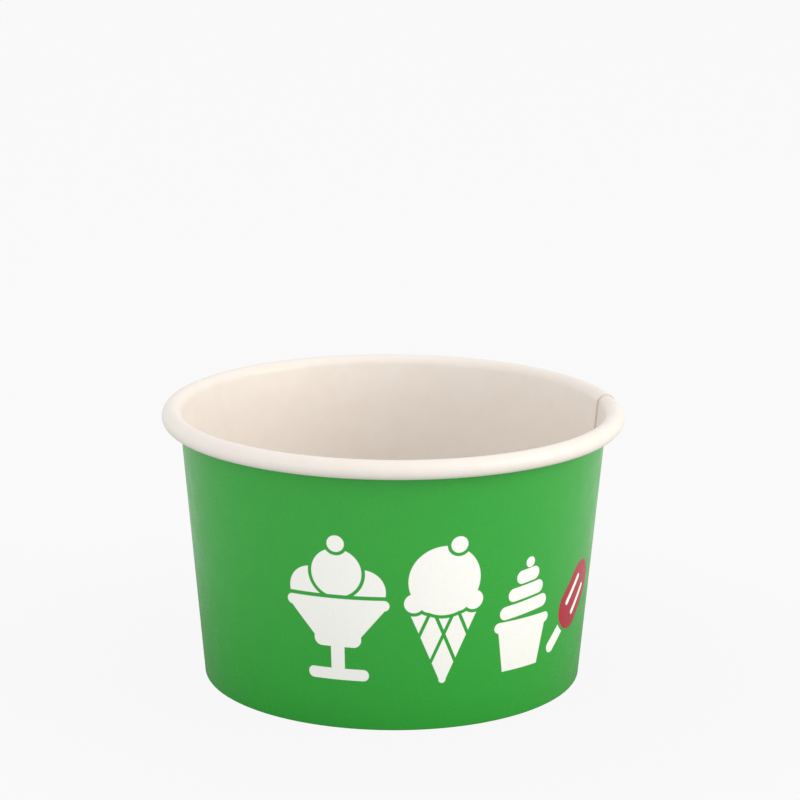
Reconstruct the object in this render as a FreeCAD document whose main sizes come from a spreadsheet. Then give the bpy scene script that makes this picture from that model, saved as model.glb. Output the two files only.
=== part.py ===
"""Paper dessert cup, about 240 ml: a printed side wall and a plain base, both of coated paper board.

The side wall is one fan-shaped blank. It is wrapped into a cone whose two cut edges overlap in a
glued lap, its top edge is rolled outwards into the rim, and its bottom edge is folded inwards and up
to grip the skirt of the base. The base is one disc whose edge is drawn down into that skirt.

Frame: millimetres, +Z up, origin at the centre of the ring that the cup stands on.
"""

import FreeCAD, Part
import Sketcher
import math
import os
from FreeCAD import Placement, Rotation, Vector

# Driving dimensions: millimetres, and degrees for the angles
SIZES = {
    "rim_diameter": (95.0, "across the outside of the rolled rim"),
    "foot_diameter": (78.2, "across the outside of the wall where it meets the table"),
    "cup_height": (56.8, "from the table to the top of the rim"),
    "wall_board": (0.40, "thickness of the side wall's board"),
    "base_board": (0.32, "thickness of the base's board"),
    "roll_width": (4.0, "outside width of the rolled rim's section"),
    "roll_gap": (0.10, "space between one turn of the roll and the next"),
    "roll_tail": (70.0, "how far the last turn runs on inside the roll"),
    "fold_radius": (0.30, "outside corners of the fold that stands on the table"),
    "seal_gap": (0.02, "film of melted coating on each side of the skirt"),
    "hem_height": (5.2, "top of the folded-up hem above the table"),
    "skirt_rise": (0.25, "lower edge of the skirt above the floor of the fold"),
    "base_height": (6.8, "underside of the base above the table"),
    "base_bend": (0.8, "outside radius where the base turns down into its skirt"),
    "lap_angle": (7.5, "overlap of the blank's cut edges, about 6 mm at the rim"),
    "lap_climb": (9.0, "turn in which the outer ply climbs over the inner one"),
    "lap_press": (0.02, "how far the glued plies are pressed into each other"),
    "lap_bearing": (12.0, "direction of the inner cut edge from +X"),
}

# Sections that the outer ply passes through as it climbs over the inner one
CLIMB_STEPS = 3

# Board layers at the foot, measured inwards from the wall's printed face
SKIRT_OUTSIDE = "Sizes.wall_board + Sizes.seal_gap"
SKIRT_INSIDE = f"{SKIRT_OUTSIDE} + Sizes.base_board"
HEM_OUTSIDE = f"{SKIRT_INSIDE} + Sizes.seal_gap"
HEM_INSIDE = f"{HEM_OUTSIDE} + Sizes.wall_board"

# Points of a sketch element, and the sketch's own origin and axes
START, END, CENTRE = 1, 2, 3
ORIGIN = (-1, START)
X_AXIS = -1
Y_AXIS = -2


def make_sheet(doc):
    sheet = doc.addObject("Spreadsheet::Sheet", "Sizes")
    for row, (alias, (value, meaning)) in enumerate(SIZES.items(), start=1):
        sheet.set(f"A{row}", alias.replace("_", " "))
        sheet.set(f"B{row}", str(value))
        sheet.set(f"C{row}", meaning)
        sheet.setAlias(f"B{row}", alias)
    doc.recompute()
    return sheet


class WallLine:
    """Where the wall's printed face lies in a half-section, so that a sketch starts near its solution.

    It leaves the table at the foot and passes the roll's centre at the roll's radius less one board.
    """

    def __init__(self, sheet):
        roll_radius = sheet.roll_width / 2
        offset = roll_radius - sheet.wall_board
        self.foot = sheet.foot_diameter / 2
        self.roll_centre = (sheet.rim_diameter / 2 - roll_radius, sheet.cup_height - roll_radius)
        across = self.roll_centre[0] - self.foot
        reach = math.hypot(across, self.roll_centre[1])
        self.slope = math.atan2(across, self.roll_centre[1]) - math.asin(offset / reach)
        self.length = math.sqrt(reach**2 - offset**2)

    def point(self, along, inward):
        """A point by its distances up the wall line and inwards from it."""
        x = self.foot + along * math.sin(self.slope) - inward * math.cos(self.slope)
        y = along * math.cos(self.slope) + inward * math.sin(self.slope)
        return (x, y)

    def point_at_height(self, height, inward):
        return self.point((height - inward * math.sin(self.slope)) / math.cos(self.slope), inward)


class Section:
    """A half-section through the cup's axis: x is the radius, y the height above the table."""

    def __init__(self, body, name, wall_line):
        self.wall_line = wall_line
        self.sketch = body.newObject("Sketcher::SketchObject", name)
        plane = next(f for f in body.Origin.OriginFeatures if f.Role == "XZ_Plane")
        self.sketch.AttachmentSupport = [(plane, "")]
        self.sketch.MapMode = "FlatFace"
        self.draw_wall_line()

    def value(self, formula):
        return self.sketch.evalExpression(formula)

    def tie(self, kind, *where):
        return self.sketch.addConstraint(Sketcher.Constraint(kind, *where))

    def size(self, name, formula, kind, *where):
        """A dimension that follows the sheet, in millimetres or, for an angle, degrees."""
        value = self.value(formula)
        if kind == "Angle":
            value = math.radians(value)
            formula = f"({formula}) * 1 deg"
        index = self.tie(kind, *where, value)
        self.sketch.renameConstraint(index, name)
        self.sketch.setExpression(f"Constraints.{name}", formula)

    def line(self, start, end, construction=False):
        edge = Part.LineSegment(Vector(*start), Vector(*end))
        return self.sketch.addGeometry(edge, construction)

    def arc(self, centre, radius, first, last):
        """An arc from one angle to another, anticlockwise, in radians."""
        circle = Part.Circle(Vector(*centre), Vector(0, 0, 1), radius)
        return self.sketch.addGeometry(Part.ArcOfCircle(circle, first, last))

    def draw_wall_line(self):
        """The wall line, and the roll line that runs square to it out to the roll's centre."""
        top = self.wall_line.point(self.wall_line.length, 0)
        self.wall = self.line((self.wall_line.foot, 0), top, construction=True)
        self.roll = self.line(top, self.wall_line.roll_centre, construction=True)
        self.tie("PointOnObject", self.wall, START, X_AXIS)
        self.tie("Coincident", self.wall, END, self.roll, START)
        self.tie("Perpendicular", self.wall, self.roll)
        roll_x = "(Sizes.rim_diameter - Sizes.roll_width) / 2"
        roll_y = "Sizes.cup_height - Sizes.roll_width / 2"
        roll_offset = "Sizes.roll_width / 2 - Sizes.wall_board"
        self.size("foot_radius", "Sizes.foot_diameter / 2", "DistanceX", *ORIGIN, self.wall, START)
        self.size("roll_x", roll_x, "DistanceX", *ORIGIN, self.roll, END)
        self.size("roll_y", roll_y, "DistanceY", *ORIGIN, self.roll, END)
        self.size("roll_offset", roll_offset, "Distance", self.roll)

    def along_wall(self, name, inward, low, high):
        """A line that runs up the wall between two heights, a distance inwards from the wall line.

        A minus sign in front of the distance puts the line outside.
        """
        outside = inward.startswith("-")
        distance = self.value(inward)
        ends = [self.wall_line.point_at_height(height, distance) for height in (low, high)]
        edge = self.line(*ends)
        self.tie("Parallel", edge, self.wall)
        if distance:
            self.size(name, inward[1:] if outside else inward, "Distance", edge, END, self.wall)
        else:
            self.tie("PointOnObject", edge, END, self.wall)
        return edge

    def level(self, name, height, first_x, last_x):
        """A horizontal line at a height above the table."""
        y = self.value(height)
        edge = self.line((first_x, y), (last_x, y))
        self.tie("Horizontal", edge)
        if y:
            self.size(name, height, "DistanceY", *ORIGIN, edge, START)
        else:
            self.tie("PointOnObject", edge, START, X_AXIS)
        return edge

    def point(self, edge, end):
        place = self.sketch.getPoint(edge, end)
        return (place.x, place.y)

    def join(self, first, first_end, last, last_end):
        """A straight line between the ends of two edges."""
        edge = self.line(self.point(first, first_end), self.point(last, last_end))
        self.tie("Coincident", edge, START, first, first_end)
        self.tie("Coincident", edge, END, last, last_end)
        return edge

    def heading(self, edge, end):
        """The direction of a line as it arrives at one of its ends, in radians."""
        travel = self.sketch.getPoint(edge, end) - self.sketch.getPoint(edge, START + END - end)
        return math.atan2(travel.y, travel.x)

    def round_corner(self, name, radius, first, first_end, last, last_end):
        """An arc that turns left from the end of one line into the end of another."""
        size = self.value(radius)
        corner_x, corner_y = self.point(first, first_end)
        arriving = self.heading(first, first_end)
        leaving = self.heading(last, START + END - last_end) % (2 * math.pi)
        turn = (leaving - arriving) % (2 * math.pi)
        back = size * math.tan(turn / 2)
        centre_x = corner_x - back * math.cos(arriving) - size * math.sin(arriving)
        centre_y = corner_y - back * math.sin(arriving) + size * math.cos(arriving)
        first_angle = arriving - math.pi / 2
        edge = self.arc((centre_x, centre_y), size, first_angle, first_angle + turn)
        self.tie("Tangent", edge, START, first, first_end)
        self.tie("Tangent", edge, END, last, last_end)
        self.size(name, radius, "Radius", edge)


def draw_roll(section, food_face, printed_face, lift):
    """The board's top edge rolled outwards: over the top, under the bottom, then on inside itself.

    Each turn is an arc from one end of the roll line to the other. The lower turn has its centre
    moved outwards, so that the board comes back inside the first turn and clear of it.
    """
    spacing = "(Sizes.wall_board + Sizes.roll_gap) / 2"
    shift = section.value(spacing)
    tail = math.radians(section.value("Sizes.roll_tail"))
    food_radius = section.value(f"Sizes.roll_width / 2 - {lift}")
    printed_radius = food_radius - section.value("Sizes.wall_board")
    outward = -section.wall_line.slope
    inward = outward + math.pi
    centre = section.wall_line.roll_centre
    low_centre = (centre[0] + shift * math.cos(outward), centre[1] + shift * math.sin(outward))
    turns = []
    for face, radius in ((food_face, food_radius), (printed_face, printed_radius)):
        over = section.arc(centre, radius, outward, inward)
        under = section.arc(low_centre, radius - shift, inward, outward + 2 * math.pi)
        tail_turn = section.arc(centre, radius - 2 * shift, inward - tail, inward)
        section.tie("Coincident", over, CENTRE, section.roll, END)
        section.tie("Coincident", over, END, face, END)
        section.tie("PointOnObject", over, START, section.roll)
        section.tie("Coincident", under, END, over, START)
        section.tie("PointOnObject", under, START, section.roll)
        section.tie("Coincident", tail_turn, CENTRE, section.roll, END)
        section.tie("Coincident", tail_turn, END, under, START)
        turns.append((under, tail_turn))
    (food_under, food_tail), (printed_under, printed_tail) = turns
    section.tie("PointOnObject", food_under, CENTRE, section.roll)
    section.tie("Coincident", printed_under, CENTRE, food_under, CENTRE)
    section.size("roll_shift", spacing, "Distance", section.roll, END, food_under, CENTRE)
    section.size("food_tail", "Sizes.roll_tail", "Angle", food_tail)
    section.size("printed_tail", "Sizes.roll_tail", "Angle", printed_tail)
    section.join(food_tail, START, printed_tail, START)


def draw_hem(section, food_face, printed_face):
    """The board's bottom edge folded inwards along the table and up inside the base's skirt."""
    top = section.value("Sizes.hem_height")
    board = section.value("Sizes.wall_board")
    food_leg = section.along_wall("hem_outside", HEM_OUTSIDE, board, top)
    printed_leg = section.along_wall("hem_inside", HEM_INSIDE, 0, top)
    section.size("hem_height", "Sizes.hem_height", "DistanceY", *ORIGIN, food_leg, END)
    cap = section.join(food_leg, END, printed_leg, END)
    section.tie("Perpendicular", cap, section.wall)

    floor_start = section.point(food_leg, START)[0]
    floor_end = section.point(food_face, START)[0]
    floor = section.level("fold_floor", "Sizes.wall_board", floor_start, floor_end)
    section.tie("Coincident", floor, START, food_leg, START)
    section.tie("Coincident", floor, END, food_face, START)

    foot_start = section.point(printed_leg, START)[0]
    foot_end = section.point(printed_face, START)[0]
    foot = section.level("foot", "0", foot_start, foot_end)
    section.round_corner("inner_fold", "Sizes.fold_radius", printed_leg, START, foot, START)
    section.round_corner("outer_fold", "Sizes.fold_radius", foot, END, printed_face, START)


def draw_wall(body, name, wall_line, bearing, climb):
    """The side wall's board on one bearing, lifted outwards by a share of the climb over the lap."""
    section = Section(body, name, wall_line)
    section.sketch.AttachmentOffset = Placement(Vector(), Rotation(Vector(0, 1, 0), 0))
    section.sketch.setExpression("AttachmentOffset.Rotation.Angle", f"({bearing}) * 1 deg")
    lift = f"(Sizes.wall_board - Sizes.lap_press) * {climb}"
    board = section.value("Sizes.wall_board")
    roll_height = section.wall_line.roll_centre[1]
    food_face = section.along_wall("food_face", f"Sizes.wall_board - {lift}", board, roll_height)
    printed_face = section.along_wall("printed_face", f"-({lift})", 0, roll_height)
    for face in (food_face, printed_face):
        section.tie("PointOnObject", face, END, section.roll)
    draw_roll(section, food_face, printed_face, lift)
    draw_hem(section, food_face, printed_face)
    return section.sketch


def revolve(body, name, sketch, angle, backwards=False):
    """Turn a half-section about the cup's axis."""
    turn = body.newObject("PartDesign::Revolution", name)
    turn.Profile = sketch
    turn.ReferenceAxis = (sketch, ["V_Axis"])
    turn.Reversed = backwards
    turn.setExpression("Angle", f"({angle}) * 1 deg")
    return turn


def make_side_wall(doc, wall_line):
    """One turn of board, then the climb over its own start, then the outer ply of the lap."""
    body = doc.addObject("PartDesign::Body", "SideWall")
    body.Label = "side_wall"
    sections = []
    for step in range(CLIMB_STEPS + 1):
        bearing = f"Sizes.lap_climb * {step} / {CLIMB_STEPS}"
        share = f"{step} / {CLIMB_STEPS}"
        sections.append(draw_wall(body, f"WallSection{step}", wall_line, bearing, share))
    revolve(body, "OneTurn", sections[0], "360 - Sizes.lap_climb", backwards=True)
    climb = body.newObject("PartDesign::AdditiveLoft", "Climb")
    climb.Profile = sections[0]
    climb.Sections = sections[1:]
    climb.Ruled = True
    revolve(body, "OuterPly", sections[-1], "Sizes.lap_angle")
    body.Placement = Placement(Vector(), Rotation(Vector(0, 0, 1), 0))
    body.setExpression("Placement.Rotation.Angle", "(Sizes.lap_bearing - Sizes.lap_climb) * 1 deg")
    return body


def make_base(doc, wall_line):
    """A flat disc with its edge drawn down into a skirt that follows the slope of the wall."""
    body = doc.addObject("PartDesign::Body", "Base")
    body.Label = "base"
    section = Section(body, "BaseSection", wall_line)
    bottom = section.value("Sizes.wall_board + Sizes.skirt_rise")
    underside_height = section.value("Sizes.base_height")
    outside = section.along_wall("skirt_outside", SKIRT_OUTSIDE, bottom, underside_height)
    inside = section.along_wall("skirt_inside", SKIRT_INSIDE, bottom, underside_height)
    top = section.level("top", "Sizes.base_height + Sizes.base_board", section.point(outside, END)[0], 0)
    underside = section.level("underside", "Sizes.base_height", section.point(inside, END)[0], 0)
    for disc_face in (top, underside):
        section.tie("PointOnObject", disc_face, END, Y_AXIS)
    skirt_bottom = "Sizes.wall_board + Sizes.skirt_rise"
    section.size("skirt_bottom", skirt_bottom, "DistanceY", *ORIGIN, outside, START)
    section.round_corner("outer_bend", "Sizes.base_bend", outside, END, top, START)
    section.round_corner("inner_bend", "Sizes.base_bend - Sizes.base_board", inside, END, underside, START)
    cap = section.join(outside, START, inside, START)
    section.tie("Perpendicular", cap, section.wall)
    section.join(underside, END, top, END)
    revolve(body, "FullTurn", section.sketch, "360")
    return body


def check(doc, bodies):
    for item in doc.Objects:
        if "Invalid" in item.State or "Error" in item.State:
            raise RuntimeError(f"{item.Name} failed: {item.State}")
        if item.isDerivedFrom("Sketcher::SketchObject") and not item.FullyConstrained:
            raise RuntimeError(f"{item.Name} is not fully constrained")
    for body in bodies:
        if body.Shape.isNull() or not body.Shape.isValid():
            raise RuntimeError(f"{body.Label} has no valid shape")
        if len(body.Shape.Solids) != 1:
            raise RuntimeError(f"{body.Label} is {len(body.Shape.Solids)} solids")
        box = body.Shape.optimalBoundingBox(False, False)
        extent = f"{box.XLength:.2f} x {box.YLength:.2f} x {box.ZLength:.2f} mm"
        print(body.Label, f"{body.Shape.Volume:.1f} mm3", extent)


def main():
    doc = FreeCAD.newDocument("DessertCup")
    wall_line = WallLine(make_sheet(doc))
    bodies = [make_side_wall(doc, wall_line), make_base(doc, wall_line)]
    doc.recompute()
    check(doc, bodies)
    os.makedirs("parts", exist_ok=True)
    for body in bodies:
        body.Shape.exportStep(f"parts/{body.Label}.step")


main()
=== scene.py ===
"""Paper dessert cup: a printed side wall with a rolled rim and a folded foot, and a plain base.

Everything is in metres, +Z up, with the origin at the centre of the ring that the cup stands on.
The first of the two rows of printed pictures faces -Y, and the glued lap is just behind +X.
"""

import math

import bpy
from bpy.props import FloatProperty, FloatVectorProperty, IntProperty, PointerProperty
from mathutils import Matrix, Vector


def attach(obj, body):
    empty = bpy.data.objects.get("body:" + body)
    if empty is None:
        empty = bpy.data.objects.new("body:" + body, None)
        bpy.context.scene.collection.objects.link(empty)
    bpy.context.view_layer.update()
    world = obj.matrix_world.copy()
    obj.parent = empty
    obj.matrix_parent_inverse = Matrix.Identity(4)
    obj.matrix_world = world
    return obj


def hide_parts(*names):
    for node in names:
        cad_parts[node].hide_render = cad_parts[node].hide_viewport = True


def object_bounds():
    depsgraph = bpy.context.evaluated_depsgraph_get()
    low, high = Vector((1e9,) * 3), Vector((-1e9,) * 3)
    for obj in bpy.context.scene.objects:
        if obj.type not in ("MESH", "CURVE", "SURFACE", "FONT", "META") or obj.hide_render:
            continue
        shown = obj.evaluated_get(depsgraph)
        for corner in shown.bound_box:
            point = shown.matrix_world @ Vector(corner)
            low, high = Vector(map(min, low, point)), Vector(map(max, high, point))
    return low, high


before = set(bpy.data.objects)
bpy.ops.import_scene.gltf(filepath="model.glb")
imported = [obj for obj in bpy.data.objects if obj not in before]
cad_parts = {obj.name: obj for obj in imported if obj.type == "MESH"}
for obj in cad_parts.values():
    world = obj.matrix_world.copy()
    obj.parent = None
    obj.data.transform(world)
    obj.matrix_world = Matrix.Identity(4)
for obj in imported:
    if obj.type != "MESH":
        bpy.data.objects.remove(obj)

bl_info = {
    "name": "Paper Dessert Cup",
    "version": (1, 0, 0),
    "blender": (4, 5, 0),
    "location": "View3D > Sidebar > Dessert Cup",
    "description": "A rolled-rim paper cup with its printed wall, its base and a studio stage",
    "category": "Object",
}

CAD_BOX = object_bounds()
MM = 0.001
FULL_TURN = 2 * math.pi


def length(name, description, default):
    return FloatProperty(
        name=name, description=description, default=default, unit="LENGTH", precision=5
    )


def angle(name, description, degrees):
    return FloatProperty(
        name=name, description=description, default=math.radians(degrees), subtype="ANGLE"
    )


def paint(name, description, colour):
    return FloatVectorProperty(
        name=name, description=description, default=colour, subtype="COLOR", size=3, min=0, max=1
    )


def watts(name, description, default):
    return FloatProperty(name=name, description=description, default=default, unit="POWER")


def count(name, description, default):
    return IntProperty(name=name, description=description, default=default, min=1)


class CupBoard(bpy.types.PropertyGroup):
    """Sizes of the two pieces of board."""

    rim_diameter: length("Rim diameter", "Across the outside of the rolled rim", 95.0 * MM)
    foot_diameter: length("Foot diameter", "Across the wall's outside at the table", 78.2 * MM)
    cup_height: length("Height", "From the table to the top of the rim", 56.8 * MM)
    wall_board: length("Wall board", "Thickness of the side wall's board", 0.40 * MM)
    base_board: length("Base board", "Thickness of the base's board", 0.32 * MM)
    roll_width: length("Roll width", "Outside width of the rolled rim's section", 4.0 * MM)
    roll_gap: length("Roll gap", "Space between one turn of the roll and the next", 0.10 * MM)
    roll_tail: angle("Roll tail", "How far the last turn runs on inside the roll", 70)
    fold_radius: length("Fold radius", "Outside corners of the fold at the foot", 0.30 * MM)
    crease_radius: length("Crease radius", "Inside corners of the fold at the foot", 0.06 * MM)
    seal_gap: length("Seal", "Film of melted coating on each side of the skirt", 0.02 * MM)
    hem_height: length("Hem height", "Top of the folded-up hem above the table", 5.2 * MM)
    skirt_rise: length("Skirt rise", "Skirt's lower edge above the floor of the fold", 0.25 * MM)
    base_height: length("Base height", "Underside of the base above the table", 6.8 * MM)
    base_bend: length("Base bend", "Outside radius where the base turns into its skirt", 0.8 * MM)
    lap_angle: angle("Lap", "Overlap of the blank's cut edges", 7.5)
    lap_climb: angle("Climb", "Turn in which the outer ply climbs over the inner one", 9)
    lap_press: length("Lap press", "How far the glued plies are pressed into each other", 0.02 * MM)
    lap_bearing: angle("Lap bearing", "Direction of the inner cut edge from +X", 12)
    flutes: count("Flutes", "Pressed flutes round the inside of the hem", 90)
    flute_depth: length("Flute depth", "Depth of the flutes pressed into the hem", 0.12 * MM)


class CupPrint(bpy.types.PropertyGroup):
    """Colours of the board and its inks, and the place of the printed pictures."""

    board_white: paint("Board", "Bleached board under its clear coating", (0.805, 0.745, 0.695))
    edge_white: paint("Cut edge", "Bare fibres where the board was cut", (0.74, 0.68, 0.59))
    green: paint("Green ink", "Ink all over the outside of the wall", (0.0216, 0.354, 0.031))
    crimson: paint("Crimson ink", "Second ink, for the small accents", (0.40, 0.004, 0.024))
    knock_out: paint("Picture white", "Board left bare in the pictures", (0.935, 0.92, 0.88))
    row_bearing: angle("Row's bearing", "Middle of the first row, from the front towards +X", 22.9)
    row_height: length("Row's height", "Middle of the rows of pictures above the table", 25.5 * MM)
    rows: count("Rows", "How often the row of pictures comes round the cup", 2)


class CupStage(bpy.types.PropertyGroup):
    """Camera, floor and lamps."""

    camera_distance: length("Camera distance", "Level distance from the cup's axis", 556.0 * MM)
    camera_height: length("Camera height", "Height of the camera above the floor", 193.1 * MM)
    camera_pitch: angle("Camera pitch", "How far the camera looks down", 13.706)
    camera_turn: angle("Camera turn", "How far the camera looks to the right of the cup", 0.143)
    camera_roll: angle("Camera roll", "How far the picture leans clockwise", 0.378)
    lens: FloatProperty(
        name="Lens", description="Focal length for a 36 mm sensor", default=125.2, unit="CAMERA"
    )
    backdrop: paint("Backdrop", "What the camera sees behind the cup", (0.947, 0.947, 0.947))
    room_light: FloatProperty(
        name="Room light", description="Strength of the even light from all round", default=0.98
    )
    key_power: watts("Key lamp", "Large soft lamp on the right", 4.52)
    fill_power: watts("Fill lamp", "Large soft lamp in front, to the left", 1.38)


class WallLine:
    """Where the wall's printed face lies in a half-section: x is the radius and y the height."""

    def __init__(self, board):
        roll_radius = board.roll_width / 2
        offset = roll_radius - board.wall_board
        self.foot = board.foot_diameter / 2
        self.roll_centre = (board.rim_diameter / 2 - roll_radius, board.cup_height - roll_radius)
        across = self.roll_centre[0] - self.foot
        reach = math.hypot(across, self.roll_centre[1])
        self.slope = math.atan2(across, self.roll_centre[1]) - math.asin(offset / reach)
        self.length = math.sqrt(reach**2 - offset**2)

    def point(self, along, inward):
        x = self.foot + along * math.sin(self.slope) - inward * math.cos(self.slope)
        y = along * math.cos(self.slope) + inward * math.sin(self.slope)
        return (x, y)

    def along_at(self, height, inward):
        """How far up the wall line a height is reached, a distance inwards from it."""
        return (height - inward * math.sin(self.slope)) / math.cos(self.slope)

    def point_at(self, height, inward):
        return self.point(self.along_at(height, inward), inward)


def arc(centre, radius, first, last, steps):
    """Points along an arc, both ends included."""
    angles = [first + (last - first) * step / steps for step in range(steps + 1)]
    return [(centre[0] + radius * math.cos(a), centre[1] + radius * math.sin(a)) for a in angles]


def rounded_corner(corner, heading, turn, radius, steps):
    """Points of an arc that turns left at a corner, arriving with a heading."""
    back = radius * math.tan(turn / 2)
    centre_x = corner[0] - back * math.cos(heading) - radius * math.sin(heading)
    centre_y = corner[1] - back * math.sin(heading) + radius * math.cos(heading)
    first = heading - math.pi / 2
    return arc((centre_x, centre_y), radius, first, first + turn, steps)


def between(start, end, shares):
    """Points on a straight line at shares of its length."""
    across, up = end[0] - start[0], end[1] - start[1]
    return [(start[0] + across * share, start[1] + up * share) for share in shares]


# Places down the hem's leg, as shares of it, and how deep its flutes are there
HEM_SHARES = (0, 0.06, 0.5, 0.86)
HEM_FLUTES = (0.7, 1, 1, 1)
FOLD_STEPS = 4
WALL_STEPS = 8
ROLL_STEPS = 16
UNDER_STEPS = 12
TAIL_STEPS = 4


def wall_section(board, line, lift, bedding, flute):
    """The board from its hem to the end of its roll: points on its inner and its printed face.

    The lift carries the board outwards over the lap. The bedding presses the inner ply's hem
    into the outer one's. The flute is how far the hem's face is pressed in on this bearing.
    """
    thick = board.wall_board
    hem = thick + board.base_board + 2 * board.seal_gap - bedding
    top = line.along_at(board.hem_height, hem)
    slope = line.slope

    inner_crease = line.point_at(thick + bedding, hem)
    outer_crease = line.point_at(thick + bedding, thick - lift)
    inner_fold = line.point_at(bedding, hem + thick)
    outer_fold = line.point_at(bedding, -lift)
    down = -math.pi / 2 - slope
    inner_turn = math.pi / 2 + slope
    outer_turn = math.pi / 2 - slope

    inside = rounded_corner(inner_crease, down, inner_turn, board.crease_radius, FOLD_STEPS)
    inside += rounded_corner(outer_crease, 0, outer_turn, board.crease_radius, FOLD_STEPS)
    outside = rounded_corner(inner_fold, down, inner_turn, board.fold_radius, FOLD_STEPS)
    outside += rounded_corner(outer_fold, 0, outer_turn, board.fold_radius, FOLD_STEPS)

    leg_inside = between(line.point(top, hem), inside[0], HEM_SHARES)
    leg_outside = between(line.point(top, hem + thick), outside[0], HEM_SHARES)
    for step, depth in enumerate(HEM_FLUTES):
        x, y = leg_outside[step]
        leg_outside[step] = (x + flute * depth, y)

    wall_shares = [step / WALL_STEPS for step in range(1, WALL_STEPS)]
    wall_inside = between(inside[-1], line.point(line.length, thick - lift), wall_shares)
    wall_outside = between(outside[-1], line.point(line.length, -lift), wall_shares)

    shift = (thick + board.roll_gap) / 2
    outward = -slope
    low_centre = (
        line.roll_centre[0] + shift * math.cos(outward),
        line.roll_centre[1] + shift * math.sin(outward),
    )
    faces = []
    for start, radius in (
        (leg_inside + inside + wall_inside, board.roll_width / 2 - lift),
        (leg_outside + outside + wall_outside, board.roll_width / 2 - lift - thick),
    ):
        over = arc(line.roll_centre, radius, outward + math.pi, outward, ROLL_STEPS)
        under = arc(low_centre, radius - shift, outward, outward - math.pi, UNDER_STEPS)
        tail_end = outward - math.pi - board.roll_tail
        tail = arc(line.roll_centre, radius - 2 * shift, outward - math.pi, tail_end, TAIL_STEPS)
        faces.append(start + over + under[1:] + tail[1:])
    return faces


def smooth_step(value):
    value = min(max(value, 0), 1)
    return value * value * (3 - 2 * value)


# The side wall's materials, in their order
PRINTED, PLAIN, CUT = range(3)
STEPS_PER_FLUTE = 6
# How deep the blank's start sinks into the hem, as a share of the lap's press
BEDDING_SHARE = 1.5


def wall_mesh(board):
    """The side wall's board, wrapped through one turn and on over its own start."""
    line = WallLine(board)
    step_angle = FULL_TURN / (board.flutes * STEPS_PER_FLUTE)
    travel = FULL_TURN + board.lap_angle
    steps = math.ceil(travel / step_angle)
    full_lift = board.wall_board - board.lap_press
    points = []
    for step in range(steps + 1):
        run = travel * step / steps
        lift = full_lift * smooth_step((run - FULL_TURN + board.lap_climb) / board.lap_climb)
        sunk = smooth_step((2 * board.lap_angle - run) / board.lap_angle)
        bedding = BEDDING_SHARE * board.lap_press * sunk
        flute = board.flute_depth * (0.5 - 0.5 * math.cos(board.flutes * run))
        inside, outside = wall_section(board, line, lift, bedding, flute)
        bearing = board.lap_bearing + run
        for x, y in inside + outside[::-1]:
            points.append((x * math.cos(bearing), x * math.sin(bearing), y))
    around = len(inside) + len(outside)

    faces = []
    slots = []
    for step in range(steps):
        first = step * around
        second = first + around
        for place in range(around):
            after = (place + 1) % around
            faces.append((first + place, first + after, second + after, second + place))
            if place < len(inside) - 1:
                slots.append(PLAIN)
            elif place in (len(inside) - 1, around - 1):
                slots.append(CUT)
            else:
                slots.append(PRINTED)
    for first, flip in ((0, False), (steps * around, True)):
        for place in range(len(inside) - 1):
            opposite = around - 1 - place
            corners = (first + place, first + opposite, first + opposite - 1, first + place + 1)
            faces.append(corners[::-1] if flip else corners)
            slots.append(CUT)
    return points, faces, slots


# The base's materials, in their order
BASE_PLAIN, BASE_CUT = range(2)
BASE_STEPS = 288
BEND_STEPS = 8
DISC_SHARES = (0.25, 0.5, 0.75, 0.96)


def base_mesh(board):
    """The base's board: a flat disc, a bend and a skirt, turned about the cup's axis."""
    line = WallLine(board)
    outer = board.wall_board + board.seal_gap
    inner = outer + board.base_board
    top = board.base_height + board.base_board
    bottom = line.along_at(board.wall_board + board.skirt_rise, outer)
    up = math.pi / 2 - line.slope
    turn = math.pi / 2 + line.slope
    over = rounded_corner(line.point_at(top, outer), up, turn, board.base_bend, BEND_STEPS)
    under_corner = line.point_at(board.base_height, inner)
    under_radius = board.base_bend - board.base_board
    under = rounded_corner(under_corner, up, turn, under_radius, BEND_STEPS)
    over += between(over[-1], (0, top), DISC_SHARES)
    under += between(under[-1], (0, board.base_height), DISC_SHARES)
    section = over[::-1] + [line.point(bottom, outer), line.point(bottom, inner)] + under
    cap = len(over)

    points = []
    for step in range(BASE_STEPS):
        bearing = FULL_TURN * step / BASE_STEPS
        points += [(x * math.cos(bearing), x * math.sin(bearing), y) for x, y in section]
    points += [(0, 0, top), (0, 0, board.base_height)]
    top_centre, under_centre = len(points) - 2, len(points) - 1
    around = len(section)
    faces = []
    slots = []
    for step in range(BASE_STEPS):
        first = step * around
        second = (step + 1) % BASE_STEPS * around
        for place in range(around - 1):
            faces.append((first + place, first + place + 1, second + place + 1, second + place))
            slots.append(BASE_CUT if place == cap else BASE_PLAIN)
        faces.append((top_centre, first, second))
        faces.append((under_centre, second + around - 1, first + around - 1))
        slots += [BASE_PLAIN, BASE_PLAIN]
    return points, faces, slots


# Faces that meet at more than this stay crisp between them
CRISP_ANGLE = math.radians(40)


def add_piece(name, node, mesh_parts, materials):
    """A piece that stands for a CAD node, smooth except where its faces meet at a cut edge."""
    points, faces, slots = mesh_parts
    mesh = bpy.data.meshes.new(name)
    mesh.from_pydata(points, [], faces)
    for material in materials:
        mesh.materials.append(material)
    mesh.polygons.foreach_set("material_index", slots)
    mesh.polygons.foreach_set("use_smooth", [True] * len(faces))
    mesh.set_sharp_from_angle(angle=CRISP_ANGLE)
    if mesh.validate():
        raise RuntimeError(f"{name} had faulty faces")
    piece = bpy.data.objects.new(name, mesh)
    bpy.context.scene.collection.objects.link(piece)
    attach(piece, "root")
    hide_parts(node)


# Places of the Mix node's colour sockets, whose names its other kinds share
MIX_FIRST, MIX_SECOND, MIX_RESULT = 6, 7, 2


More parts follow.
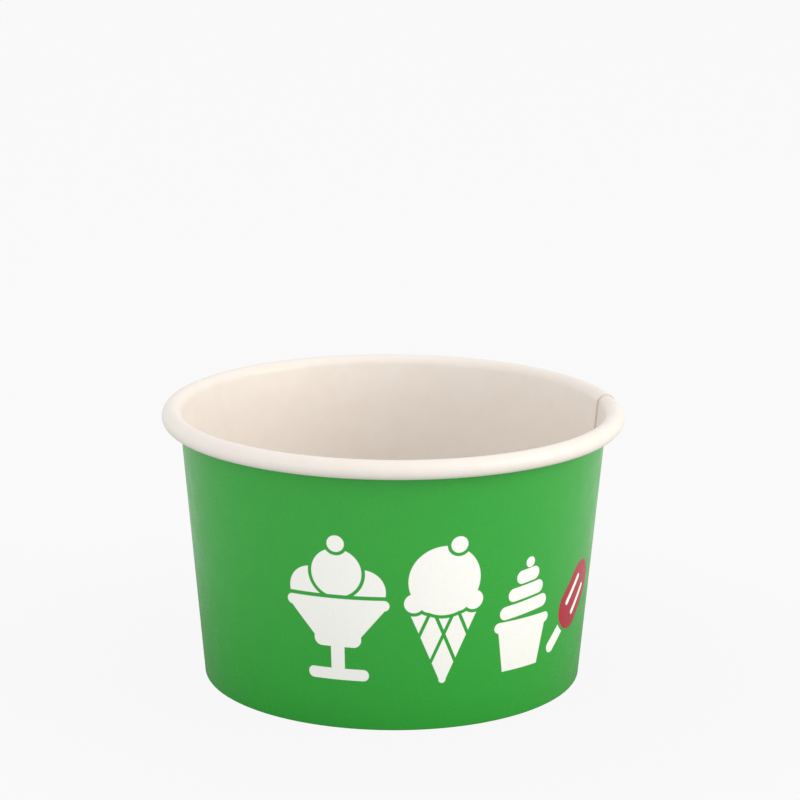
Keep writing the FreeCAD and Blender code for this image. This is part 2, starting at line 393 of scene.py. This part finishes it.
class Nodes:
    """A node tree and the few moves that the materials and the print are made with."""

    def __init__(self, tree):
        self.tree = tree

    def add(self, kind, **settings):
        node = self.tree.nodes.new(kind)
        for name, value in settings.items():
            setattr(node, name, value)
        return node

    def feed(self, socket, source):
        """Sets a socket to a value, or links it to another node's output."""
        if isinstance(source, bpy.types.NodeSocket):
            self.tree.links.new(source, socket)
        else:
            socket.default_value = source

    def math(self, operation, *sources):
        node = self.add("ShaderNodeMath", operation=operation)
        for socket, source in zip(node.inputs, sources):
            self.feed(socket, source)
        return node.outputs["Value"]

    def vector_math(self, operation, *sources, output="Vector"):
        node = self.add("ShaderNodeVectorMath", operation=operation)
        for socket, source in zip(node.inputs, sources):
            self.feed(socket, source)
        return node.outputs[output]

    def split(self, source):
        node = self.add("ShaderNodeSeparateXYZ")
        self.feed(node.inputs["Vector"], source)
        return node.outputs["X"], node.outputs["Y"], node.outputs["Z"]

    def ramp(self, source, low, high, to_low=0.0, to_high=1.0):
        """A value carried smoothly from one range to another."""
        node = self.add("ShaderNodeMapRange", interpolation_type="SMOOTHSTEP")
        for socket, value in zip(node.inputs, (source, low, high, to_low, to_high)):
            self.feed(socket, value)
        return node.outputs["Result"]

    def mix(self, factor, first, second):
        node = self.add("ShaderNodeMix", data_type="RGBA")
        self.feed(node.inputs["Factor"], factor)
        self.feed(node.inputs[MIX_FIRST], first)
        self.feed(node.inputs[MIX_SECOND], second)
        return node.outputs[MIX_RESULT]

    def group(self, tree, **sources):
        """Places a node group and feeds its named inputs."""
        node = self.add("ShaderNodeGroup", node_tree=tree)
        for name, source in sources.items():
            self.feed(node.inputs[name.replace("_", " ").capitalize()], source)
        return node


def new_group(name, inputs, outputs):
    """An empty node group: its nodes, the values that come in and the sockets that go out."""
    tree = bpy.data.node_groups.new(name, "ShaderNodeTree")
    for in_out, sockets in (("INPUT", inputs), ("OUTPUT", outputs)):
        for socket_name, kind in sockets.items():
            tree.interface.new_socket(socket_name, in_out=in_out, socket_type=f"NodeSocket{kind}")
    nodes = Nodes(tree)
    return nodes, nodes.add("NodeGroupInput").outputs, nodes.add("NodeGroupOutput").inputs


# Half the width of a printed shape's soft edge, in millimetres
INK_SPREAD = 0.07
# The inputs that place every printed shape
PLACED = {"Place": "Vector", "Centre": "Vector"}


def finish_shape(nodes, outputs, distance):
    """Turns a distance from a shape's outline into its mask."""
    nodes.feed(outputs["Mask"], nodes.ramp(distance, INK_SPREAD, -INK_SPREAD))


def make_disc_group():
    sockets = PLACED | {"Radius": "Float"}
    nodes, inputs, outputs = new_group("Printed disc", sockets, {"Mask": "Float"})
    away = nodes.vector_math("DISTANCE", inputs["Place"], inputs["Centre"], output="Value")
    finish_shape(nodes, outputs, nodes.math("SUBTRACT", away, inputs["Radius"]))
    return nodes.tree


def make_bar_group():
    sockets = PLACED | dict.fromkeys(("Width", "Height", "Rounding", "Tilt"), "Float")
    nodes, inputs, outputs = new_group("Printed bar", sockets, {"Mask": "Float"})
    away = nodes.vector_math("SUBTRACT", inputs["Place"], inputs["Centre"])
    turn = nodes.add("ShaderNodeVectorRotate", rotation_type="Z_AXIS", invert=True)
    nodes.feed(turn.inputs["Vector"], away)
    nodes.feed(turn.inputs["Angle"], inputs["Tilt"])
    x, y, _ = nodes.split(turn.outputs["Vector"])
    beyond = []
    for value, size in ((x, "Width"), (y, "Height")):
        half = nodes.math("MULTIPLY", inputs[size], 0.5)
        core = nodes.math("SUBTRACT", half, inputs["Rounding"])
        beyond.append(nodes.math("SUBTRACT", nodes.math("ABSOLUTE", value), core))
    outside = [nodes.math("MAXIMUM", value, 0.0) for value in beyond]
    squares = [nodes.math("MULTIPLY", value, value) for value in outside]
    corner = nodes.math("SQRT", nodes.math("ADD", *squares))
    within = nodes.math("MINIMUM", nodes.math("MAXIMUM", *beyond), 0.0)
    distance = nodes.math("SUBTRACT", nodes.math("ADD", corner, within), inputs["Rounding"])
    finish_shape(nodes, outputs, distance)
    return nodes.tree


def make_wedge_group():
    sockets = PLACED | dict.fromkeys(("Top", "Bottom", "Height"), "Float")
    nodes, inputs, outputs = new_group("Printed wedge", sockets, {"Mask": "Float"})
    x, y, _ = nodes.split(nodes.vector_math("SUBTRACT", inputs["Place"], inputs["Centre"]))
    half_height = nodes.math("MULTIPLY", inputs["Height"], 0.5)
    share = nodes.math("DIVIDE", nodes.math("ADD", y, half_height), inputs["Height"])
    widening = nodes.math("MULTIPLY", nodes.math("SUBTRACT", inputs["Top"], inputs["Bottom"]), 0.5)
    half_bottom = nodes.math("MULTIPLY", inputs["Bottom"], 0.5)
    half_width = nodes.math("MULTIPLY_ADD", widening, share, half_bottom)
    beside = nodes.math("SUBTRACT", nodes.math("ABSOLUTE", x), half_width)
    above = nodes.math("SUBTRACT", nodes.math("ABSOLUTE", y), half_height)
    finish_shape(nodes, outputs, nodes.math("MAXIMUM", beside, above))
    return nodes.tree


def make_place_group():
    """Where a point lies on the flat print, in millimetres from the nearest row's middle."""
    sockets = {"Radius": "Float", "Bearing": "Float", "Half pitch": "Float", "Height": "Float"}
    nodes, inputs, outputs = new_group("Place on the print", sockets, {"Place": "Vector"})
    x, y, z = nodes.split(nodes.add("ShaderNodeTexCoord").outputs["Object"])
    bearing = nodes.math("ARCTAN2", x, nodes.math("MULTIPLY", y, -1.0))
    from_middle = nodes.math("SUBTRACT", bearing, inputs["Bearing"])
    before = nodes.math("MULTIPLY", inputs["Half pitch"], -1.0)
    nearest = nodes.math("WRAP", from_middle, inputs["Half pitch"], before)
    round_wall = nodes.math("MULTIPLY", nearest, inputs["Radius"])
    up_wall = nodes.math("SUBTRACT", nodes.math("MULTIPLY", z, 1 / MM), inputs["Height"])
    join = nodes.add("ShaderNodeCombineXYZ")
    nodes.feed(join.inputs["X"], round_wall)
    nodes.feed(join.inputs["Y"], up_wall)
    nodes.feed(outputs["Place"], join.outputs["Vector"])
    return nodes.tree


# How many times the size of the tooth the clouding has
CLOUD_TO_TOOTH = 9.0


def make_fibre_group():
    """Pressed fibres: a fine tooth, soft clouding, and the slow waves of bent board."""
    sockets = {"Tooth size": "Float", "Wave size": "Float"}
    masks = dict.fromkeys(("Tooth", "Cloud", "Wave"), "Float")
    nodes, inputs, outputs = new_group("Board fibre", sockets, masks)
    place = nodes.add("ShaderNodeTexCoord").outputs["Object"]
    cloud_size = nodes.math("MULTIPLY", inputs["Tooth size"], CLOUD_TO_TOOTH)
    # Each mask's size, its detail, and its scale along x, y and z: below 1 draws it out
    for name, size, detail, stretch in (
        ("Tooth", inputs["Tooth size"], 3.0, (1.0, 1.0, 0.55)),
        ("Cloud", cloud_size, 4.0, (1.0, 1.0, 1.0)),
        ("Wave", inputs["Wave size"], 1.0, (1.0, 1.0, 0.45)),
    ):
        noise = nodes.add("ShaderNodeTexNoise")
        nodes.feed(noise.inputs["Vector"], nodes.vector_math("MULTIPLY", place, stretch))
        nodes.feed(noise.inputs["Scale"], nodes.math("DIVIDE", 1.0, size))
        nodes.feed(noise.inputs["Detail"], detail)
        nodes.feed(outputs[name], noise.outputs["Fac"])
    return nodes.tree


class Ink:
    """One ink on the print. Its shapes, in millimetres, are laid on its mask or cut from it."""

    def __init__(self, nodes, place, shapes):
        self.nodes = nodes
        self.place = place
        self.shapes = shapes
        self.mask = 0.0
        self.middle = 0.0

    def lay(self, kind, x, y, knocked_out=False, **sizes):
        """Places a shape, measured from the middle of the picture that it belongs to."""
        centre = (self.middle + x, y, 0.0)
        shape = self.nodes.group(self.shapes[kind], place=self.place, centre=centre, **sizes)
        mask = shape.outputs["Mask"]
        if knocked_out:
            clear = self.nodes.math("SUBTRACT", 1.0, mask)
            self.mask = self.nodes.math("MULTIPLY", self.mask, clear)
        else:
            self.mask = self.nodes.math("MAXIMUM", self.mask, mask)

    def disc(self, x, y, radius, knocked_out=False):
        self.lay("disc", x, y, knocked_out, radius=radius)

    def bar(self, x, y, width, height, rounding=0.4, tilt=0.0, knocked_out=False):
        sizes = {"width": width, "height": height, "rounding": rounding}
        self.lay("bar", x, y, knocked_out, tilt=math.radians(tilt), **sizes)

    def wedge(self, x, y, top, bottom, height):
        self.lay("wedge", x, y, top=top, bottom=bottom, height=height)


# Width of the line of ink left between two parts of a picture. As in all the pictures below,
# it is in millimetres, and places are measured from the picture's own middle
INK_LINE = 0.7


def print_scoop(white, x, y, radius):
    """A white disc with a line of ink round it, where it lies over another one."""
    white.disc(x, y, radius + INK_LINE, knocked_out=True)
    white.disc(x, y, radius)


def print_sundae(white, _):
    """Three scoops and a cherry in a footed glass."""
    for x, y, radius in ((-5.0, 3.6, 4.7), (5.0, 3.6, 4.7), (0.0, 7.4, 5.0), (0.0, 13.4, 1.7)):
        print_scoop(white, x, y, radius)
    white.bar(0, 0.6, 24, 4.4, knocked_out=True)
    white.bar(0, 0.9, 20.8, 2.2, rounding=1.1)
    white.wedge(0, -3.1, 19.2, 9.0, 6.2)
    white.bar(0, -6.4, 9.6, 3.4, rounding=1.6)
    white.bar(0, -10.4, 2.8, 5.0)
    white.bar(0, -13.9, 12.6, 2.4, rounding=1.15)


def print_cone(white, _):
    """A scoop with a cherry in a wafer cone."""
    white.wedge(0, -7.4, 14.6, 1.2, 15.4)
    white.disc(0, -14.9, 0.75)
    for x in (-2.43, 2.43):
        for tilt in (-23.5, 23.5):
            white.bar(x, 0.3, INK_LINE, 40, rounding=0, tilt=tilt, knocked_out=True)
    scoop_and_drips = [(0.0, 5.9, 7.2)] + [(x, 1.4, 2.0) for x in (-6.0, -3.0, 0.0, 3.0, 6.0)]
    for x, y, radius in scoop_and_drips:
        white.disc(x, y, radius + INK_LINE, knocked_out=True)
    for x, y, radius in scoop_and_drips:
        white.disc(x, y, radius)
    print_scoop(white, 2.6, 13.2, 1.7)


def print_tub(white, _):
    """A tub with a swirl of soft ice."""
    white.wedge(0, -10.8, 12.4, 9.4, 8.6)
    white.bar(0, -5.6, 14.4, 2.2, rounding=1.1)
    for x, y, width in ((0.0, -2.2, 12.2), (0.2, 1.2, 9.0), (0.4, 4.5, 5.8)):
        white.bar(x, y, width, 2.8, rounding=1.35, tilt=6)
    white.disc(0.7, 7.2, 1.1)


def print_lolly(white, crimson):
    """A grooved lolly that leans to the right on its stick."""
    lean = 45
    cos, sin = math.cos(math.radians(lean)), math.sin(math.radians(lean))
    low = -3.8
    clear = 2 * INK_LINE
    stick = (-9.8 * sin, -9.8 * cos + low)
    white.bar(*stick, 2.6 + clear, 8 + clear, rounding=1.9, tilt=-lean, knocked_out=True)
    white.bar(*stick, 2.6, 8, rounding=1.25, tilt=-lean)
    white.bar(0, low, 9.4 + clear, 15 + clear, rounding=5.1, tilt=-lean, knocked_out=True)
    crimson.bar(0, low, 9.4, 15, rounding=4.4, tilt=-lean)
    for side in (-1.9, 1.9):
        groove = (side * cos, -side * sin + low)
        crimson.bar(*groove, 1.2, 7.4, rounding=0.55, tilt=-lean, knocked_out=True)
        white.bar(*groove, 1.2, 7.4, rounding=0.55, tilt=-lean)


# The pictures of a row, and how far each stands from the row's middle in millimetres
PICTURES = ((print_sundae, -27.4), (print_cone, -6.2), (print_tub, 12.0), (print_lolly, 29.9))


def new_material(name):
    material = bpy.data.materials.new(name)
    material.use_nodes = True
    nodes = Nodes(material.node_tree)
    return material, nodes, material.node_tree.nodes["Principled BSDF"]


# The values between which most of a noise lies, and a wider pair for a softer change
NOISE_SPAN = (0.3, 0.7)
WIDE_SPAN = (0.25, 0.75)


def opaque(colour):
    return (*colour, 1)


def add_relief(nodes, shader, fibre, **depths):
    """Adds up the fibre's named masks at depths in metres, and bends the light by them."""
    total = 0.0
    for name, depth in depths.items():
        total = nodes.math("MULTIPLY_ADD", fibre.outputs[name], depth, total)
    bump = nodes.add("ShaderNodeBump")
    bump.inputs["Distance"].default_value = 1.0
    nodes.feed(bump.inputs["Height"], total)
    nodes.feed(shader.inputs["Normal"], bump.outputs["Normal"])


# The ink's darkest clouding as a share of its colour, and how much of it the print takes
INK_SHADE = 0.72
CLOUD_SHARE = 0.10


def make_printed_board(groups, ink_colours, board):
    """The wall's outside: green ink with the pictures knocked out of it, under a clear varnish."""
    material, nodes, shader = new_material("Printed board")
    line = WallLine(board)
    mid_radius = line.point_at(ink_colours.row_height, 0)[0] / MM
    place = nodes.group(
        groups["place"], radius=mid_radius, bearing=ink_colours.row_bearing,
        half_pitch=math.pi / ink_colours.rows, height=ink_colours.row_height / MM,
    ).outputs["Place"]
    white, crimson = Ink(nodes, place, groups), Ink(nodes, place, groups)
    for picture, from_middle in PICTURES:
        white.middle = crimson.middle = from_middle
        picture(white, crimson)

    fibre = nodes.group(groups["fibre"], tooth_size=0.45 * MM, wave_size=16 * MM)
    shade = nodes.ramp(fibre.outputs["Cloud"], *NOISE_SPAN, 0.0, CLOUD_SHARE)
    dark_green = [INK_SHADE * part for part in ink_colours.green]
    green = nodes.mix(shade, opaque(ink_colours.green), opaque(dark_green))
    colour = nodes.mix(white.mask, green, opaque(ink_colours.knock_out))
    colour = nodes.mix(crimson.mask, colour, opaque(ink_colours.crimson))
    gloss = nodes.ramp(fibre.outputs["Cloud"], *NOISE_SPAN, 0.25, 0.33)
    nodes.feed(shader.inputs["Base Color"], colour)
    nodes.feed(shader.inputs["Roughness"], gloss)
    add_relief(nodes, shader, fibre, Tooth=0.004 * MM, Wave=0.12 * MM)
    return material


# The warmest tint of the plain board's clouding
WARM_TINT = (0.985, 0.97, 0.945)


def make_plain_board(groups, ink_colours):
    """The food side of the board: bleached fibres under a thin satin film."""
    material, nodes, shader = new_material("Plain board")
    fibre = nodes.group(groups["fibre"], tooth_size=0.38 * MM, wave_size=13 * MM)
    shade = nodes.ramp(fibre.outputs["Cloud"], *WIDE_SPAN)
    warm = [part * tint for part, tint in zip(ink_colours.board_white, WARM_TINT)]
    colour = nodes.mix(shade, opaque(ink_colours.board_white), opaque(warm))
    gloss = nodes.ramp(fibre.outputs["Tooth"], *NOISE_SPAN, 0.40, 0.50)
    nodes.feed(shader.inputs["Base Color"], colour)
    nodes.feed(shader.inputs["Roughness"], gloss)
    shader.inputs["Coat Weight"].default_value = 0.12
    shader.inputs["Coat Roughness"].default_value = 0.25
    add_relief(nodes, shader, fibre, Tooth=0.012 * MM, Wave=0.08 * MM)
    return material


# How dark the cut edge is between its fibres, as a share of its colour
EDGE_SHADE = 0.82


def make_cut_edge(groups, ink_colours):
    """Bare fibres in layers, where the blank was cut."""
    material, nodes, shader = new_material("Cut edge")
    fibre = nodes.group(groups["fibre"], tooth_size=0.12 * MM, wave_size=4 * MM)
    shade = nodes.ramp(fibre.outputs["Tooth"], *NOISE_SPAN)
    dark = [EDGE_SHADE * part for part in ink_colours.edge_white]
    colour = nodes.mix(shade, opaque(ink_colours.edge_white), opaque(dark))
    gloss = nodes.ramp(fibre.outputs["Cloud"], *NOISE_SPAN, 0.80, 0.92)
    nodes.feed(shader.inputs["Base Color"], colour)
    nodes.feed(shader.inputs["Roughness"], gloss)
    add_relief(nodes, shader, fibre, Tooth=0.03 * MM)
    return material


def board_materials(context):
    """The three board finishes, made once: printed face, food face and cut edge."""
    names = ("Printed board", "Plain board", "Cut edge")
    if names[0] not in bpy.data.materials:
        groups = {
            "place": make_place_group(), "fibre": make_fibre_group(),
            "disc": make_disc_group(), "bar": make_bar_group(), "wedge": make_wedge_group(),
        }
        scene = context.scene
        return [
            make_printed_board(groups, scene.cup_print, scene.cup_board),
            make_plain_board(groups, scene.cup_print),
            make_cut_edge(groups, scene.cup_print),
        ]
    return [bpy.data.materials[name] for name in names]


class CUP_OT_side_wall(bpy.types.Operator):
    """Make the side wall: rolled rim, glued lap, printed outside and folded foot"""

    bl_idname = "dessert_cup.side_wall"
    bl_label = "Side wall"

    def execute(self, context):
        mesh_parts = wall_mesh(context.scene.cup_board)
        add_piece("cup_wall", "side_wall", mesh_parts, board_materials(context))
        return {"FINISHED"}


class CUP_OT_base(bpy.types.Operator):
    """Make the base: a plain disc with its edge drawn down into a skirt"""

    bl_idname = "dessert_cup.base"
    bl_label = "Base"

    def execute(self, context):
        plain = board_materials(context)[1:]
        add_piece("cup_base", "base", base_mesh(context.scene.cup_board), plain)
        return {"FINISHED"}


def share_seen(nodes, ways):
    """1 for rays of the named ways of seeing, else 0."""
    rays = nodes.add("ShaderNodeLightPath").outputs
    share = 0.0
    for way in ways:
        share = nodes.math("MAXIMUM", share, rays[way])
    return share


def light_room(stage):
    """An even room that looks the colour of the backdrop to the camera."""
    world = bpy.data.worlds.new("Pale room")
    world.use_nodes = True
    bpy.context.scene.world = world
    nodes = Nodes(world.node_tree)
    background = world.node_tree.nodes["Background"]
    room = [stage.room_light] * 3
    seen = share_seen(nodes, ("Is Camera Ray", "Is Transmission Ray", "Is Glossy Ray"))
    nodes.feed(background.inputs["Color"], nodes.mix(seen, opaque(room), opaque(stage.backdrop)))


# The floor's sides, in metres
FLOOR_SIZE = 12
# Its grey close to the cup, darkened there as a painted shadow of the cup, and away from it, and
# the distances from the axis between them
SHADOW_AND_FLOOR_GREYS = (0.40, 0.65)
PAINTED_SHADOW_FADE = (45 * MM, 120 * MM)
# The even glow that hides most of its shading from the camera, and the share that it takes
FLOOR_GLOW = 0.962
GLOW_SHARE = 0.95


def lay_floor():
    """A wide pale floor that takes the cup's shadow softly, with a painted shadow that darkens its
    grey near the cup.
    """
    half = FLOOR_SIZE / 2
    mesh = bpy.data.meshes.new("floor")
    corners = [(-half, -half, 0), (half, -half, 0), (half, half, 0), (-half, half, 0)]
    mesh.from_pydata(corners, [], [(0, 1, 2, 3)])
    material, nodes, shader = new_material("Pale floor")
    place = nodes.add("ShaderNodeTexCoord").outputs["Object"]
    away = nodes.vector_math("LENGTH", place, output="Value")
    # Painted shadow: the floor's grey is darker close to the cup's axis
    nodes.feed(shader.inputs["Base Color"], nodes.ramp(away, *PAINTED_SHADOW_FADE, *SHADOW_AND_FLOOR_GREYS))
    shader.inputs["Roughness"].default_value = 0.9
    glow = nodes.add("ShaderNodeEmission")
    glow.inputs["Color"].default_value = (FLOOR_GLOW, FLOOR_GLOW, FLOOR_GLOW, 1)
    mix = nodes.add("ShaderNodeMixShader")
    seen = share_seen(nodes, ("Is Camera Ray", "Is Transmission Ray"))
    nodes.feed(mix.inputs["Fac"], nodes.math("MULTIPLY", seen, GLOW_SHARE))
    # Both of its shader sockets have the same name
    shaded, glowing = mix.inputs[1:3]
    nodes.feed(shaded, shader.outputs["BSDF"])
    nodes.feed(glowing, glow.outputs["Emission"])
    output = material.node_tree.nodes["Material Output"]
    nodes.feed(output.inputs["Surface"], mix.outputs["Shader"])
    mesh.materials.append(material)
    floor = bpy.data.objects.new("floor", mesh)
    bpy.context.scene.collection.objects.link(floor)


# The lamps' sides in metres, their places and their tints
LAMP_SIZE = 0.6
KEY_PLACE, KEY_TINT = (0.90, -0.30, 0.40), (1.0, 0.98, 0.90)
FILL_PLACE, FILL_TINT = (-0.62, -0.70, 0.25), (0.91, 0.97, 1.0)


def add_lamp(name, place, power, tint):
    """A square soft lamp that points at the middle of the cup."""
    middle = Vector((0, 0, CAD_BOX[1][2] / 2))
    data = bpy.data.lights.new(name, "AREA")
    data.shape = "SQUARE"
    data.size = LAMP_SIZE
    data.energy = power
    data.color = tint
    lamp = bpy.data.objects.new(name, data)
    lamp.location = place
    lamp.rotation_euler = (middle - Vector(place)).to_track_quat("-Z", "Y").to_euler()
    bpy.context.scene.collection.objects.link(lamp)


def set_camera(stage):
    """The photograph's camera, with the slight turn and lean of the picture."""
    pitch, turn, roll = stage.camera_pitch, stage.camera_turn, stage.camera_roll
    ahead = Vector(
        (math.cos(pitch) * math.sin(turn), math.cos(pitch) * math.cos(turn), -math.sin(pitch))
    )
    level = Vector((math.cos(turn), -math.sin(turn), 0))
    upright = level.cross(ahead)
    across = math.cos(roll) * level + math.sin(roll) * upright
    up = math.cos(roll) * upright - math.sin(roll) * level
    data = bpy.data.cameras.new("camera")
    data.sensor_width = 36
    data.lens = stage.lens
    camera = bpy.data.objects.new("camera", data)
    turn_matrix = Matrix((across, up, -ahead)).transposed().to_4x4()
    place = Matrix.Translation((0, -stage.camera_distance, stage.camera_height))
    camera.matrix_world = place @ turn_matrix
    bpy.context.scene.collection.objects.link(camera)
    bpy.context.scene.camera = camera


class CUP_OT_stage(bpy.types.Operator):
    """Set the camera, the pale floor, the even room and the soft lamps"""

    bl_idname = "dessert_cup.stage"
    bl_label = "Stage"

    def execute(self, context):
        stage = context.scene.cup_stage
        set_camera(stage)
        light_room(stage)
        lay_floor()
        add_lamp("key_lamp", KEY_PLACE, stage.key_power, KEY_TINT)
        add_lamp("fill_lamp", FILL_PLACE, stage.fill_power, FILL_TINT)
        context.scene.view_settings.view_transform = "Standard"
        return {"FINISHED"}


class CUP_PT_sidebar(bpy.types.Panel):
    """The cup's settings and the buttons that make its pieces"""

    bl_idname = "CUP_PT_sidebar"
    bl_label = "Dessert Cup"
    bl_space_type = "VIEW_3D"
    bl_region_type = "UI"
    bl_category = "Dessert Cup"

    def draw(self, context):
        for operator in OPERATORS:
            self.layout.operator(operator.bl_idname)
        for settings in (context.scene.cup_board, context.scene.cup_print, context.scene.cup_stage):
            column = self.layout.column()
            for name in settings.__annotations__:
                column.prop(settings, name)


OPERATORS = (CUP_OT_stage, CUP_OT_side_wall, CUP_OT_base)
SETTINGS = {"cup_board": CupBoard, "cup_print": CupPrint, "cup_stage": CupStage}


def register():
    for cls in (*SETTINGS.values(), *OPERATORS, CUP_PT_sidebar):
        bpy.utils.register_class(cls)
    for name, cls in SETTINGS.items():
        setattr(bpy.types.Scene, name, PointerProperty(type=cls))


def unregister():
    for name in SETTINGS:
        delattr(bpy.types.Scene, name)
    for cls in (CUP_PT_sidebar, *reversed(OPERATORS), *reversed(SETTINGS.values())):
        bpy.utils.unregister_class(cls)


def main():
    register()
    bpy.ops.dessert_cup.stage()
    bpy.ops.dessert_cup.side_wall()
    bpy.ops.dessert_cup.base()


if __name__ == "__main__":
    main()
